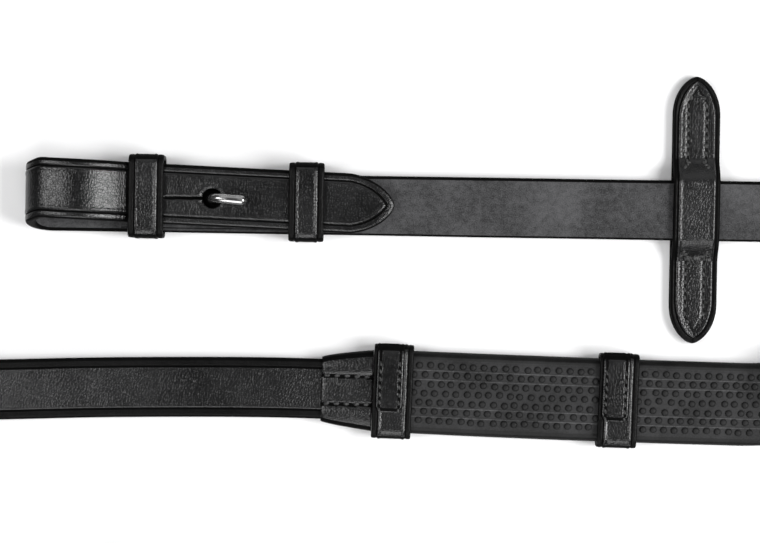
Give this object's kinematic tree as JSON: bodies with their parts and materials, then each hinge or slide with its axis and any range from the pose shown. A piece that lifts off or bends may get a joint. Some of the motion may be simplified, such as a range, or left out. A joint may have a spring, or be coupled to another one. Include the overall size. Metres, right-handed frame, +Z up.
{
  "type": "riding reins",
  "caption": "Pair of flat leather riding reins with pimpled rubber grips, hand stops, sliding rein stops, hook-stud bit ends with keepers, and a centre buckle; the slack is coiled on edge.",
  "frame": {"origin": "centre of the reins' bounding box, on the surface that they lie on", "axes": "+X along the two reins' straight lanes, from the bit end to the coil; +Y across them, towards the left rein's lane; +Z up"},
  "size_m": [0.5392, 0.157, 0.0255],
  "materials": {
    "strap_leather": "satin",
    "flesh_leather": "matte",
    "grip_rubber": "matte",
    "webbing": "matte",
    "thread": "matte",
    "steel": "polished"
  },
  "bodies": {
    "reins": {"left_front_strap": "flesh_leather", "left_stud_backing": "flesh_leather", "left_hook_stud": "steel", "left_stud_rivet": "steel", "left_fixed_keeper": "strap_leather", "left_front_chape": "strap_leather", "left_grip_core": "webbing", "left_rubber_grip": "grip_rubber", "left_hand_stop_1": "strap_leather", "left_hand_stop_2": "strap_leather", "left_hand_stop_3": "strap_leather", "left_hand_stop_4": "strap_leather", "left_hand_stop_5": "strap_leather", "left_hand_stop_6": "strap_leather", "left_hand_stop_7": "strap_leather", "left_hand_stop_8": "strap_leather", "left_rear_chape": "strap_leather", "left_rear_strap": "strap_leather", "right_front_strap": "strap_leather", "right_stud_backing": "flesh_leather", "right_hook_stud": "steel", "right_stud_rivet": "steel", "right_fixed_keeper": "strap_leather", "right_front_chape": "strap_leather", "right_grip_core": "webbing", "right_rubber_grip": "grip_rubber", "right_hand_stop_1": "strap_leather", "right_hand_stop_2": "strap_leather", "right_hand_stop_3": "strap_leather", "right_hand_stop_4": "strap_leather", "right_hand_stop_5": "strap_leather", "right_hand_stop_6": "strap_leather", "right_hand_stop_7": "strap_leather", "right_hand_stop_8": "strap_leather", "right_rear_chape": "strap_leather", "right_rear_strap": "strap_leather", "buckle_frame": "steel", "centre_keeper": "strap_leather"},
    "left_stop": {"left_stop_base": "strap_leather", "left_stop_bridge": "strap_leather", "left_stop_thread": "thread"},
    "right_stop": {"right_stop_base": "strap_leather", "right_stop_bridge": "strap_leather", "right_stop_thread": "thread"},
    "left_runner_keeper": {"left_runner": "strap_leather"},
    "right_runner_keeper": {"right_runner": "strap_leather"},
    "tongue": {"buckle_tongue": "steel"}
  },
  "joints": [
    {"name": "left_stop_slide", "type": "slide", "parent": "reins", "child": "left_stop", "axis": [1, 0, 0], "range_m": [-0.07, 0.025]},
    {"name": "right_stop_slide", "type": "slide", "parent": "reins", "child": "right_stop", "axis": [0.9995, 0.032, 0], "range_m": [-0.008, 0.055]},
    {"name": "left_runner_slide", "type": "slide", "parent": "reins", "child": "left_runner_keeper", "axis": [1, 0, 0], "range_m": [-0.005, 0.02]},
    {"name": "right_runner_slide", "type": "slide", "parent": "reins", "child": "right_runner_keeper", "axis": [-1, 0, 0], "range_m": [-0.005, 0.012]},
    {"name": "buckle_tongue_hinge", "type": "hinge", "parent": "reins", "child": "tongue", "pos_m": [0.13938, -0.01597, 0.013], "axis": [0, 0, 1], "range_deg": [0, 8]}
  ]
}
